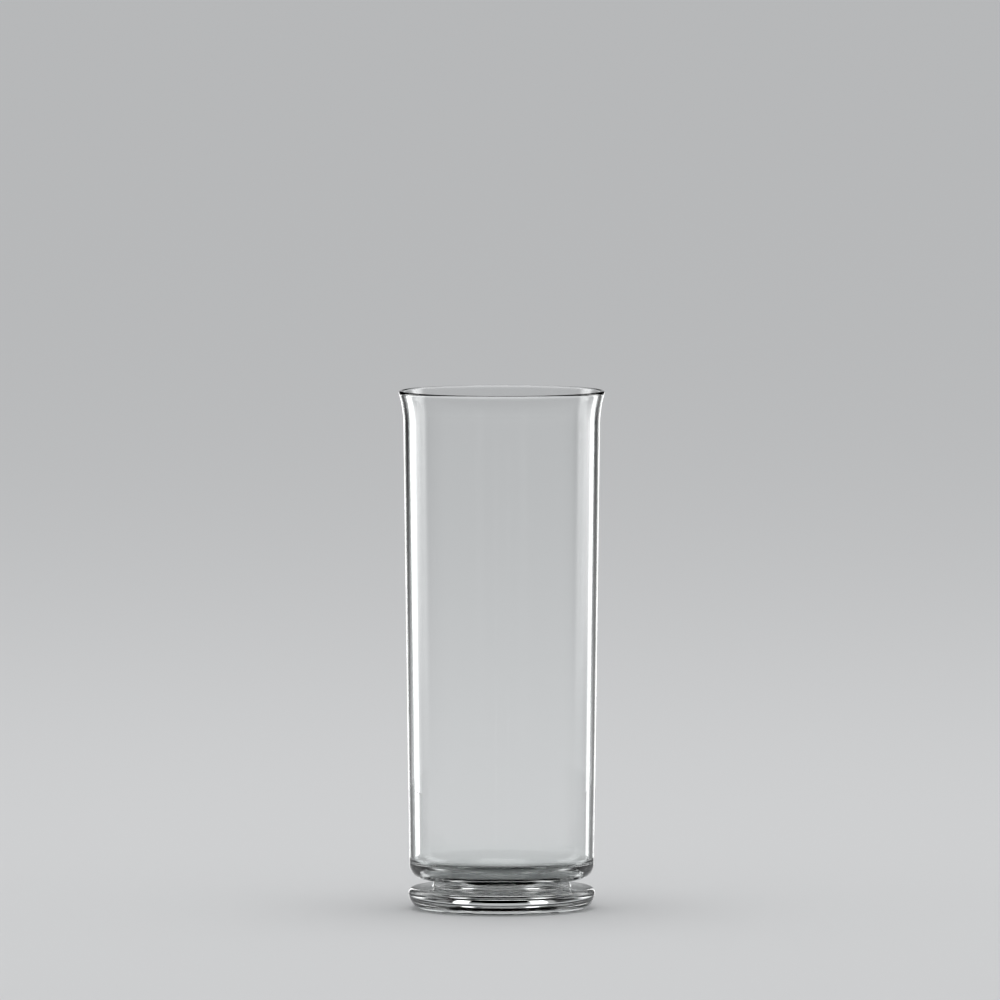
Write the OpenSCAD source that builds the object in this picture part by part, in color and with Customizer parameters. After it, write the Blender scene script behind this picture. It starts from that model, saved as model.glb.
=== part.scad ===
// Highball glass: a tall thin-walled bowl with a thick bottom, welded hot to a pressed round foot.
// Millimetres, +Z up. The origin is on the axis, on the plane that the foot stands on.
// Both pieces are solids of revolution about Z, each from one closed outline in the plane of
// radius and height.

/* [Rim] */
// Height of the glass, from the table to the top of the lip
height = 151; // [135:1:170]
// Diameter over the lip, the widest part of the glass
rim_d = 60; // [57:0.5:66]
// How far the lip stands out past the wall below the flare
flare_out = 1.4; // [0.5:0.1:2.5]
// Height of the flare, up to the top of the lip
flare_h = 9.5; // [6:0.5:14]

/* [Wall] */
// Thickness of the blown wall and of the round lip
wall = 1.3; // [0.9:0.1:2]
// Outside diameter of the wall just above the heel
body_bottom_d = 53.9; // [51:0.1:56]

/* [Bottom of the bowl] */
// Thickness of the floor above the weld
floor_t = 3.3; // [2:0.1:6]
// Radius of the corner inside, between the wall and the floor
cavity_r = 4.6; // [3:0.1:8]
// Radius of the round heel outside, under the wall
heel_r = 4.2; // [3:0.1:5.2]
// Slope of the underside between the heel and the waist, in degrees
heel_slope = 14; // [6:1:22]

/* [Waist] */
// How far the waist, where the bowl is welded to the foot, stands in from the wall all round
waist_in = 7; // [6.4:0.1:8]
// Radius of the round bottom of the groove at the waist
groove_r = 0.9; // [0.6:0.1:1.2]

/* [Foot] */
// Diameter of the foot at its widest
foot_d = 54.4; // [51:0.1:58]
// Height of the foot, from the table to the weld
foot_h = 7.4; // [7:0.1:9]
// Slope of the top of the foot, falling outwards, in degrees
foot_slope = 2; // [0:1:6]
// Radius of the foot's edge above its widest line
foot_top_r = 1.7; // [1:0.1:2.2]
// Largest radius of the foot's edge below its widest line
foot_under_r = 4.6; // [2:0.1:4.8]
// Outside diameter of the flat ring that the glass stands on
ring_d = 32.4; // [28:0.2:38]
// Width of the flat ring
ring_w = 0.8; // [0.4:0.1:2]
// Depth of the shallow dome under the foot, inside the ring
dome_h = 0.8; // [0.3:0.1:1.5]

/* [Smoothness] */
// Straight steps in each round stretch of an outline
arc_steps = 12; // [8:1:24]
// Facets round the axis in a preview
round_steps = 180; // [60:12:360]

/* [Hidden] */
glass_tint = [0.88, 0.94, 0.93, 0.45];

rim_r = rim_d / 2;
waist_r = body_bottom_d / 2 - waist_in;
foot_r = foot_d / 2;
ring_r = ring_d / 2;
weld_z = foot_h;
floor_z = weld_z + floor_t;

// Round bottom of the groove, half in each piece. Its centre lies on the weld plane.
groove = [waist_r + groove_r, weld_z];
// Heel, tangent to the wall outside and to the sloping underside
heel_x = body_bottom_d / 2 - heel_r;
heel_down = turned(heel_slope - 90);
heel = [heel_x, weld_z - (heel_r + groove_r + (heel_x - groove.x) * heel_down.x) / heel_down.y];

// The middle of the wall runs straight up to flare_start, then along an arc to the lip's centre.
flare_start = [rim_r - flare_out - wall / 2, height - flare_h];
lip = [rim_r - wall / 2, height - wall / 2];
wall_rise = flare_start - heel;
taper = atan2(wall_rise.x, wall_rise.y) - asin((heel_r - wall / 2) / norm(wall_rise));
wall_out = turned(-taper);
flare_rise = lip - flare_start;
flare_r = flare_rise * flare_rise / (2 * flare_rise * wall_out);
flare = flare_start + flare_r * wall_out;
flare_turn = 2 * asin(norm(flare_rise) / (2 * flare_r));
lip_tilt = taper + flare_turn;

// Corner inside, tangent to the wall's inner side and to the floor
inner_offset = (heel + (heel_r - wall) * wall_out) * wall_out;
corner_z = floor_z + cavity_r;
corner = [(inner_offset - cavity_r - corner_z * wall_out.y) / wall_out.x, corner_z];

// Edge of the foot: two arcs that meet on its widest line. The lower arc stays above the table.
foot_up = turned(90 - foot_slope);
edge_top_x = foot_r - foot_top_r;
edge_z = weld_z - (foot_top_r + groove_r + (edge_top_x - groove.x) * foot_up.x) / foot_up.y;
edge_top = [edge_top_x, edge_z];
under_r = min(foot_under_r, edge_z);
edge_under = [foot_r - under_r, edge_z];
under_rise = edge_under - [ring_r, 0];
under_slope = atan2(under_rise.y, under_rise.x) - asin(under_r / norm(under_rise));
// Dome under the foot
dome_edge = ring_r - ring_w;
dome_r = (dome_edge * dome_edge + dome_h * dome_h) / (2 * dome_h);
dome = [0, dome_h - dome_r];

// Unit vector at an angle from the radius, in degrees
function turned(angle) = [cos(angle), sin(angle)];
// Points of a round stretch about a centre, from one angle to another
function arc(centre, radius, from, to) =
    [for (i = [0:arc_steps]) centre + radius * turned(from + (to - from) * i / arc_steps)];

bowl_outline = concat(
    [[0, weld_z]],
    arc(groove, groove_r, 180, 90 + heel_slope),
    arc(heel, heel_r, heel_slope - 90, -taper),
    arc(flare, flare_r - wall / 2, 180 - taper, 180 - lip_tilt),
    arc(lip, wall / 2, -lip_tilt, 180 - lip_tilt),
    arc(flare, flare_r + wall / 2, 180 - lip_tilt, 180 - taper),
    arc(corner, cavity_r, -taper, -90),
    [[0, floor_z]]
);

foot_outline = concat(
    [[0, dome_h]],
    arc(dome, dome_r, 90, acos(dome_edge / dome_r)),
    [[ring_r, 0]],
    arc(edge_under, under_r, under_slope - 90, 0),
    arc(edge_top, foot_top_r, 0, 90 - foot_slope),
    arc(groove, groove_r, 270 - foot_slope, 180),
    [[0, weld_z]]
);

// Blown bowl: lip, flare, tapered wall, heel and the upper half of the waist
module bowl() {
    color(glass_tint) rotate_extrude($fn = round_steps) polygon(bowl_outline);
}

// Pressed foot: the lower half of the waist, round edge, contact ring and dome
module foot() {
    color(glass_tint) rotate_extrude($fn = round_steps) polygon(foot_outline);
}

bowl();
foot();
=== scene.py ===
import math

import bpy
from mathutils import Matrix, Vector


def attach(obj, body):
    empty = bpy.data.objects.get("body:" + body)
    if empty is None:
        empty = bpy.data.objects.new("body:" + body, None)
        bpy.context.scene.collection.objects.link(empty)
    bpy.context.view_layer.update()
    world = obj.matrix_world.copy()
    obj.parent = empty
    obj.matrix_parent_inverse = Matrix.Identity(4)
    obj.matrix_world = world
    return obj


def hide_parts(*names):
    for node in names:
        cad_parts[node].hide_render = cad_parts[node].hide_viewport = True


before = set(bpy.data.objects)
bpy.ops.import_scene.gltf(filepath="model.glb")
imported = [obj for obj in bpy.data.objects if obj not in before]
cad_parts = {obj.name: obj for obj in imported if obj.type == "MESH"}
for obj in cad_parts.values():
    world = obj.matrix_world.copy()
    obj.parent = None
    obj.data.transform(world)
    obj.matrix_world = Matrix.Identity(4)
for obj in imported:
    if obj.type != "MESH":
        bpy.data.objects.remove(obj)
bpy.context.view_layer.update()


# Camera: about four metres away and a little above the lip, looking down by 3.6 degrees through a long
# lens, so that the glass stands upright and its lip is a very flat ellipse. Lens and sensor are in mm.
CAMERA_PLACE = (-0.00052, -4.0911, 0.37723)
LOOK_DOWN = math.radians(3.61)
LENS = 507.6
SENSOR = 36

bpy.ops.object.camera_add(location=CAMERA_PLACE, rotation=(math.pi / 2 - LOOK_DOWN, 0, 0))
camera = bpy.context.object
camera.name = "camera"
camera.data.lens = LENS
camera.data.sensor_width = SENSOR
camera.data.clip_start = 0.1
camera.data.clip_end = 100
bpy.context.scene.camera = camera


# Studio: even light from all round and one wide softbox overhead. The world is brighter for rays that have
# bounced off something matt. Glass sees it pale near the horizon, as the floor is, and dim overhead, as a
# studio's ceiling is.
HORIZON_TONE = (0.941, 0.959, 0.970, 1)
HORIZON_LIGHT = 0.50
CEILING_LIGHT = 0.10
CEILING_FROM = 0.05
CEILING_FULL = 0.25
ROOM_TONE = (0.98, 0.99, 1.0, 1)
ROOM_LIGHT = 0.75
SOFTBOX_PLACE = (0, 0.1, 1.6)
SOFTBOX_SIZE = 1.0
SOFTBOX_POWER = 6


class Socket:
    """A shader value that adds its Math nodes when it is used in an expression."""

    def __init__(self, tree, link):
        self.tree = tree
        self.link = link

    def math(self, operation, *values, clamp=False):
        node = self.tree.nodes.new("ShaderNodeMath")
        node.operation = operation
        node.use_clamp = clamp
        for place, value in enumerate(values):
            if isinstance(value, Socket):
                self.tree.links.new(value.link, node.inputs[place])
            else:
                node.inputs[place].default_value = value
        return Socket(self.tree, node.outputs[0])

    def __add__(self, other):
        return self.math("ADD", self, other)

    __radd__ = __add__

    def __sub__(self, other):
        return self.math("SUBTRACT", self, other)

    def __rsub__(self, other):
        return self.math("SUBTRACT", other, self)

    def __mul__(self, other):
        return self.math("MULTIPLY", self, other)

    __rmul__ = __mul__

    def __truediv__(self, other):
        return self.math("DIVIDE", self, other)

    def __rtruediv__(self, other):
        return self.math("DIVIDE", other, self)

    def __pow__(self, other):
        return self.math("POWER", self, other)

    def __gt__(self, other):
        return self.math("GREATER_THAN", self, other)

    def __lt__(self, other):
        return self.math("LESS_THAN", self, other)

    def between(self, low, high):
        """0 below low and 1 above high, straight between them, held in that range."""
        return self.math("MULTIPLY", self - low, 1 / (high - low), clamp=True)


class Finish:
    """A material and its nodes. node() adds a node, sets its settings first and then its sockets."""

    def __init__(self, name, kind="material"):
        if kind == "world":
            self.made = bpy.data.worlds.new(name)
        else:
            self.made = bpy.data.materials.new(name)
        self.made.use_nodes = True
        self.tree = self.made.node_tree
        self.tree.nodes.clear()

    def node(self, kind, settings=(), out=0, **values):
        node = self.tree.nodes.new(kind)
        for key, value in dict(settings).items():
            if key == "stops":
                ramp = node.color_ramp.elements
                while len(ramp) < len(value):
                    ramp.new(1)
                for stop, (at, tone) in zip(ramp, value):
                    stop.position = at
                for stop, (at, tone) in zip(ramp, value):
                    stop.color = (tone, tone, tone, 1)
            else:
                setattr(node, key, value)
        for key, value in values.items():
            if key.startswith("input"):
                place = node.inputs[int(key.removeprefix("input"))]
            else:
                place = node.inputs[key.replace("_", " ")]
            if isinstance(value, Socket):
                self.tree.links.new(value.link, place)
            else:
                place.default_value = value
        return Socket(self.tree, node.outputs[out]) if node.outputs else None


def seen_by_glass(look):
    """1 for a ray that glass has just mirrored or bent, and 0 for the others."""
    mirrored = look.node("ShaderNodeLightPath", out="Is Glossy Ray")
    bent = look.node("ShaderNodeLightPath", out="Is Transmission Ray")
    return mirrored + bent


studio = Finish("studio", "world")
was_diffuse = studio.node("ShaderNodeLightPath", out="Diffuse Depth") > 0.5
direction = studio.node("ShaderNodeTexCoord", out="Generated")
height = studio.node("ShaderNodeSeparateXYZ", out="Z", Vector=direction)
overhead = height.between(CEILING_FROM, CEILING_FULL) * seen_by_glass(studio) * (1 - was_diffuse)
dim = HORIZON_LIGHT - (HORIZON_LIGHT - CEILING_LIGHT) * overhead
seen = studio.node("ShaderNodeBackground", Color=HORIZON_TONE, Strength=dim)
lighting = studio.node("ShaderNodeBackground", Color=ROOM_TONE, Strength=ROOM_LIGHT)
sky = studio.node("ShaderNodeMixShader", input0=was_diffuse, input1=seen, input2=lighting)
studio.node("ShaderNodeOutputWorld", Surface=sky)
bpy.context.scene.world = studio.made
bpy.context.scene.view_settings.view_transform = "Standard"

bpy.ops.object.light_add(type="AREA", location=SOFTBOX_PLACE)
softbox = bpy.context.object
softbox.name = "softbox_overhead"
softbox.data.shape = "SQUARE"
softbox.data.size = SOFTBOX_SIZE
softbox.data.energy = SOFTBOX_POWER
softbox.visible_camera = False


# Cards: what the glass mirrors and bends at its edges. Upright white strips at the back left and back right
# make the bands of light down the wall, and black flags beside them draw its dark lines. They stand in a
# ring that only glass sees, and it is open straight behind the glass and in front. EDGE is how far a wall's
# edge is from the axis. The strips at the sides light the ends of the foot, and their base is soft.
CARDS_R = 0.40
CARDS_H = 0.45
CARDS_OFF_FLOOR = 0.0001
EDGE = 0.0265
BLACK = 0.02
GREY = 0.2
PALE = 0.4
WHITE = 2.5
BACK_TOP = 0.14
BACK_FADE = 0.04
SIDE_FADE = 0.05
MIRRORED_FADE = 0.12


def cards(look):
    """How far the cards cover a place, its turn as a wall's edge sees it, its distance and its height."""
    place = look.node("ShaderNodeTexCoord", out="Object")
    across = look.node("ShaderNodeSeparateXYZ", out="X", Vector=place)
    away = look.node("ShaderNodeSeparateXYZ", out="Y", Vector=place)
    up = look.node("ShaderNodeSeparateXYZ", out="Z", Vector=place)
    far = (across * across + away * away) ** 0.5
    turn = across.math("ARCTAN2", across.math("ABSOLUTE", across), away)
    bend = turn - far.math("ARCSINE", EDGE / far)
    bend = bend.math("MAXIMUM", bend, 0)
    side = 0.5 - 0.5 * across.math("SIGN", across) * bend / math.pi
    cover = look.node("ShaderNodeValToRGB", {"stops": COVER}, Fac=side)
    return cover, side, far, up


def stops(*pairs):
    """Turns in degrees and their values as places on a ramp. Left of the glass is positive."""
    return [(0.5 + turn / 360, value) for turn, value in pairs]


COVER = stops((-100, 0), (-64, 1), (-10.5, 1), (-8.5, 0), (6.8, 0), (8.3, 1), (64, 1), (75, 0))
BACK_STRIPS = stops(
    (-28, BLACK), (-27, GREY), (-20, GREY), (-19, BLACK), (-16.5, BLACK), (-15.5, WHITE),
    (14, WHITE), (15.5, PALE), (18.5, PALE), (20, BLACK),
)
SIDE_STRIPS = stops(
    (-66, 0), (-58, WHITE), (-44, WHITE), (-38, 0), (38, 0), (44, WHITE), (58, WHITE), (66, 0),
)
SOFT_BASE = stops((-32, 1), (-24, 0), (22, 0), (30, 1))

bpy.ops.object.select_all(action="DESELECT")
bpy.ops.mesh.primitive_cylinder_add(
    vertices=128,
    radius=CARDS_R,
    depth=CARDS_H,
    end_fill_type="NOTHING",
    location=(0, 0, CARDS_OFF_FLOOR + CARDS_H / 2),
)
bpy.ops.object.transform_apply(location=True, rotation=True, scale=True)
ring = bpy.context.object
ring.name = "card_ring"
ring_look = Finish("card_ring")
cover, side, _, up = cards(ring_look)
nothing = ring_look.node("ShaderNodeBsdfTransparent")
back_light = ring_look.node("ShaderNodeValToRGB", {"stops": BACK_STRIPS}, Fac=side)
side_light = ring_look.node("ShaderNodeValToRGB", {"stops": SIDE_STRIPS}, Fac=side)
back_light *= 1 - up.between(BACK_TOP, BACK_TOP + BACK_FADE)
side_light *= up.between(0, SIDE_FADE)
shining = ring_look.node("ShaderNodeEmission", Color=back_light + side_light, Strength=1)
mirrored = ring_look.node("ShaderNodeLightPath", out="Is Glossy Ray")
soft_base = ring_look.node("ShaderNodeValToRGB", {"stops": SOFT_BASE}, Fac=side)
cover *= 1 - mirrored * soft_base * (1 - up.between(0, MIRRORED_FADE))
shown = ring_look.node("ShaderNodeMixShader", input0=cover, input1=nothing, input2=shining)
ring_look.node("ShaderNodeOutputMaterial", Surface=shown)
ring.data.materials.append(ring_look.made)
ring.visible_camera = False
ring.visible_diffuse = False
ring.visible_shadow = False


# Floor: one wide pale sheet of paper, matt, so that the glass's shadow lies on it. Glass that sees it at a
# low angle sees the cards mirrored in it, so that the bands of light reach down to the foot.
FLOOR_R = 30
PAPER_TONE = (0.67, 0.672, 0.675, 1)
SHEEN = 1.25
SHEEN_POWER = 8

bpy.ops.object.select_all(action="DESELECT")
bpy.ops.mesh.primitive_circle_add(vertices=96, radius=FLOOR_R, fill_type="NGON", location=(0, 0, 0))
floor = bpy.context.object
floor.name = "floor"
paper = Finish("floor_paper")
matt = paper.node("ShaderNodeBsdfDiffuse", Color=PAPER_TONE, Roughness=0.0)
cover, _, far, _ = cards(paper)
low_angle = paper.node("ShaderNodeLayerWeight", out="Facing", Blend=0.5)
sheen = SHEEN * low_angle ** SHEEN_POWER * seen_by_glass(paper) * cover * (far < CARDS_R)
mirror = paper.node("ShaderNodeBsdfPrincipled", Base_Color=(1, 1, 1, 1), Metallic=1, Roughness=0.0)
shown = paper.node("ShaderNodeMixShader", input0=sheen, input1=matt, input2=mirror)
paper.node("ShaderNodeOutputMaterial", Surface=shown)
floor.data.materials.append(paper.made)


# Bowl: blown clear glass, one thin wall from the fire-polished lip down to a thick bottom with a round
# heel. The corner inside is round too. The bottom's middle is welded hot to the foot. Sizes are in metres.
LIP_R = 0.030
TOP_Z = 0.151
FLARE_OUT = 0.0014
FLARE_H = 0.0095
WALL = 0.0013
BODY_R = 0.02695
WELD_Z = 0.0074
BOTTOM_T = 0.0033
CORNER_R = 0.0046
HEEL_R = 0.0042
HEEL_SLOPE = math.radians(14)
WAIST_IN = 0.007
GROOVE_R = 0.0009
THICK_TO = 0.011
THIN_FROM = 0.022
ROUND_STEPS = 288
GROOVE_STEPS = 12
HEEL_STEPS = 24
FLARE_STEPS = 16
LIP_STEPS = 24
CORNER_STEPS = 32
CLEAR_TINT = (0.985, 0.990, 0.990, 1)
THICK_TINT = (0.955, 0.975, 0.970, 1)
EDGE_TINT = (0.45, 0.50, 0.50, 1)
EDGE_POWER = 4
GLASS_IOR = 1.5


def turned(angle):
    """Unit vector at an angle from the radius, in the plane of radius and height."""
    return Vector((math.cos(angle), math.sin(angle)))


class Outline:
    """An outline drawn in the XZ plane with one vertex: lines by extruding and arcs by spinning."""

    def __init__(self, name, x, z):
        bpy.ops.object.select_all(action="DESELECT")
        bpy.ops.mesh.primitive_plane_add(size=0.01, location=(0, 0, 0))
        self.piece = bpy.context.object
        self.piece.name = name
        self.piece.data.name = name
        bpy.ops.object.mode_set(mode="EDIT")
        bpy.ops.mesh.merge(type="CENTER")
        bpy.ops.transform.translate(value=(x, 0, z))
        self.pen = Vector((x, z))

    def line(self, to):
        step = Vector(to) - self.pen
        bpy.ops.mesh.extrude_region_move(TRANSFORM_OT_translate={"value": (step.x, 0, step.y)})
        self.pen = Vector(to)

    def arc(self, centre, radius, start, end, steps):
        """Draws a line to where the arc starts, and then the arc."""
        centre = Vector(centre)
        first = centre + radius * turned(start)
        if (first - self.pen).length > 1e-7:
            self.line(first)
        bpy.ops.mesh.spin(steps=steps, angle=end - start, center=(centre.x, 0, centre.y), axis=(0, 1, 0))
        self.pen = centre + radius * turned(end)

    def turn_round(self, steps):
        """Turns the outline round the axis, closes the seam and the poles, and points the faces outwards."""
        bpy.ops.mesh.select_all(action="SELECT")
        bpy.ops.mesh.spin(steps=steps, angle=math.tau, center=(0, 0, 0), axis=(0, 0, 1))
        bpy.ops.mesh.select_all(action="SELECT")
        bpy.ops.mesh.remove_doubles(threshold=2e-6)
        bpy.ops.mesh.select_all(action="SELECT")
        bpy.ops.mesh.normals_make_consistent(inside=False)
        bpy.ops.object.mode_set(mode="OBJECT")
        bpy.ops.object.shade_smooth_by_angle(angle=math.radians(30))
        return self.piece


floor_z = WELD_Z + BOTTOM_T
groove = Vector((BODY_R - WAIST_IN + GROOVE_R, WELD_Z))
heel_x = BODY_R - HEEL_R
heel_down = turned(HEEL_SLOPE - math.pi / 2)
heel_z = WELD_Z - (HEEL_R + GROOVE_R + (heel_x - groove.x) * heel_down.x) / heel_down.y
heel = Vector((heel_x, heel_z))
flare_start = Vector((LIP_R - FLARE_OUT - WALL / 2, TOP_Z - FLARE_H))
lip = Vector((LIP_R - WALL / 2, TOP_Z - WALL / 2))
rise = flare_start - heel
taper = math.atan2(rise.x, rise.y) - math.asin((HEEL_R - WALL / 2) / rise.length)
wall_out = turned(-taper)
flare_rise = lip - flare_start
flare_r = flare_rise.length_squared / (2 * flare_rise.dot(wall_out))
flare = flare_start + flare_r * wall_out
lip_tilt = taper + 2 * math.asin(flare_rise.length / (2 * flare_r))
inner = (heel + (HEEL_R - WALL) * wall_out).dot(wall_out)
corner_z = floor_z + CORNER_R
corner = Vector(((inner - CORNER_R - corner_z * wall_out.y) / wall_out.x, corner_z))

bowl_outline = Outline("bowl_glass", 0, WELD_Z)
bowl_outline.arc(groove, GROOVE_R, math.pi, math.pi / 2 + HEEL_SLOPE, GROOVE_STEPS)
bowl_outline.arc(heel, HEEL_R, HEEL_SLOPE - math.pi / 2, -taper, HEEL_STEPS)
bowl_outline.arc(flare, flare_r - WALL / 2, math.pi - taper, math.pi - lip_tilt, FLARE_STEPS)
bowl_outline.arc(lip, WALL / 2, -lip_tilt, math.pi - lip_tilt, LIP_STEPS)
bowl_outline.arc(flare, flare_r + WALL / 2, math.pi - lip_tilt, math.pi - taper, FLARE_STEPS)
bowl_outline.arc(corner, CORNER_R, -taper, -math.pi / 2, CORNER_STEPS)
bowl_outline.line((0, floor_z))
bowl = bowl_outline.turn_round(ROUND_STEPS)

clear = Finish("bowl_glass")
place = clear.node("ShaderNodeTexCoord", out="Object")
up = clear.node("ShaderNodeSeparateXYZ", out="Z", Vector=place)
thick = 1 - up.between(THICK_TO, THIN_FROM)
colour = {"data_type": "RGBA"}
tint = clear.node("ShaderNodeMix", colour, out=2, input0=thick, input6=CLEAR_TINT, input7=THICK_TINT)
facing = clear.node("ShaderNodeLayerWeight", out="Facing", Blend=0.5)
tint = clear.node("ShaderNodeMix", colour, out=2, input0=facing ** EDGE_POWER, input6=tint, input7=EDGE_TINT)
stretch = clear.node("ShaderNodeMapping", Vector=place, Scale=(1, 1, 0.2))
waves = clear.node("ShaderNodeTexNoise", Vector=stretch, Scale=60, Detail=1, Roughness=0.4)
ripple = clear.node("ShaderNodeBump", Strength=0.05, Distance=0.0002, Height=waves * (1 - thick))
clear_glass = clear.node(
    "ShaderNodeBsdfPrincipled",
    Base_Color=tint,
    Roughness=0.0,
    IOR=GLASS_IOR,
    Transmission_Weight=1,
    Normal=ripple,
)
clear.node("ShaderNodeOutputMaterial", Surface=clear_glass)
bowl.data.materials.append(clear.made)

weld = Finish("weld")
through = weld.node("ShaderNodeBsdfTransparent", Color=(1, 1, 1, 1))
weld.node("ShaderNodeOutputMaterial", Surface=through)


def open_weld(piece):
    """Lets light pass the flat face where the two pieces are fused."""
    piece.data.materials.append(weld.made)
    for face in piece.data.polygons:
        if abs(face.center.z - WELD_Z) < 1e-5 and abs(face.normal.z) > 0.99:
            face.material_index = 1


open_weld(bowl)
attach(bowl, "root")
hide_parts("bowl")


# Foot: one pressed solid disc of the same clear glass, with a rounded edge. It stands on a thin ring round a
# shallow dome, and that ring is scuffed dull from years on tables.
FOOT_R = 0.0272
FOOT_SLOPE = math.radians(2)
EDGE_TOP_R = 0.0017
EDGE_UNDER_R = 0.0046
RING_R = 0.0162
RING_W = 0.0008
DOME_H = 0.0008
UNDER_STEPS = 32
EDGE_STEPS = 20
DOME_STEPS = 16
PRESSED_TINT = (0.955, 0.975, 0.970, 1)
PRESSED_EDGE_TINT = (0.55, 0.62, 0.61, 1)
PRESSED_EDGE_POWER = 5
SCUFFS_TO = 0.00015

foot_up = turned(math.pi / 2 - FOOT_SLOPE)
edge_x = FOOT_R - EDGE_TOP_R
edge_z = WELD_Z - (EDGE_TOP_R + GROOVE_R + (edge_x - groove.x) * foot_up.x) / foot_up.y
under = Vector((FOOT_R - EDGE_UNDER_R, edge_z))
under_rise = under - Vector((RING_R, 0))
under_slope = math.atan2(under_rise.y, under_rise.x) - math.asin(EDGE_UNDER_R / under_rise.length)
dome_edge = RING_R - RING_W
dome_r = (dome_edge * dome_edge + DOME_H * DOME_H) / (2 * DOME_H)

foot_outline = Outline("foot_glass", 0, DOME_H)
foot_outline.arc((0, DOME_H - dome_r), dome_r, math.pi / 2, math.acos(dome_edge / dome_r), DOME_STEPS)
foot_outline.line((RING_R, 0))
foot_outline.arc(under, EDGE_UNDER_R, under_slope - math.pi / 2, 0, UNDER_STEPS)
foot_outline.arc((edge_x, edge_z), EDGE_TOP_R, 0, math.pi / 2 - FOOT_SLOPE, EDGE_STEPS)
foot_outline.arc(groove, GROOVE_R, 1.5 * math.pi - FOOT_SLOPE, math.pi, GROOVE_STEPS)
foot_outline.line((0, WELD_Z))
foot = foot_outline.turn_round(ROUND_STEPS)

pressed = Finish("foot_glass")
place = pressed.node("ShaderNodeTexCoord", out="Object")
up = pressed.node("ShaderNodeSeparateXYZ", out="Z", Vector=place)
facing = pressed.node("ShaderNodeLayerWeight", out="Facing", Blend=0.5)
tint = pressed.node(
    "ShaderNodeMix",
    colour,
    out=2,
    input0=facing ** PRESSED_EDGE_POWER,
    input6=PRESSED_TINT,
    input7=PRESSED_EDGE_TINT,
)
scuffs = pressed.node("ShaderNodeTexNoise", Vector=place, Scale=900, Detail=4, Roughness=0.7)
worn = (up < SCUFFS_TO) * (0.1 + 0.5 * scuffs)
press = pressed.node("ShaderNodeTexNoise", Vector=place, Scale=45, Detail=1, Roughness=0.4)
swell = pressed.node("ShaderNodeBump", Strength=0.04, Distance=0.0001, Height=press)
pressed_glass = pressed.node(
    "ShaderNodeBsdfPrincipled",
    Base_Color=tint,
    Roughness=worn,
    IOR=GLASS_IOR,
    Transmission_Weight=1,
    Normal=swell,
)
pressed.node("ShaderNodeOutputMaterial", Surface=pressed_glass)
foot.data.materials.append(pressed.made)
open_weld(foot)
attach(foot, "root")
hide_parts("foot")
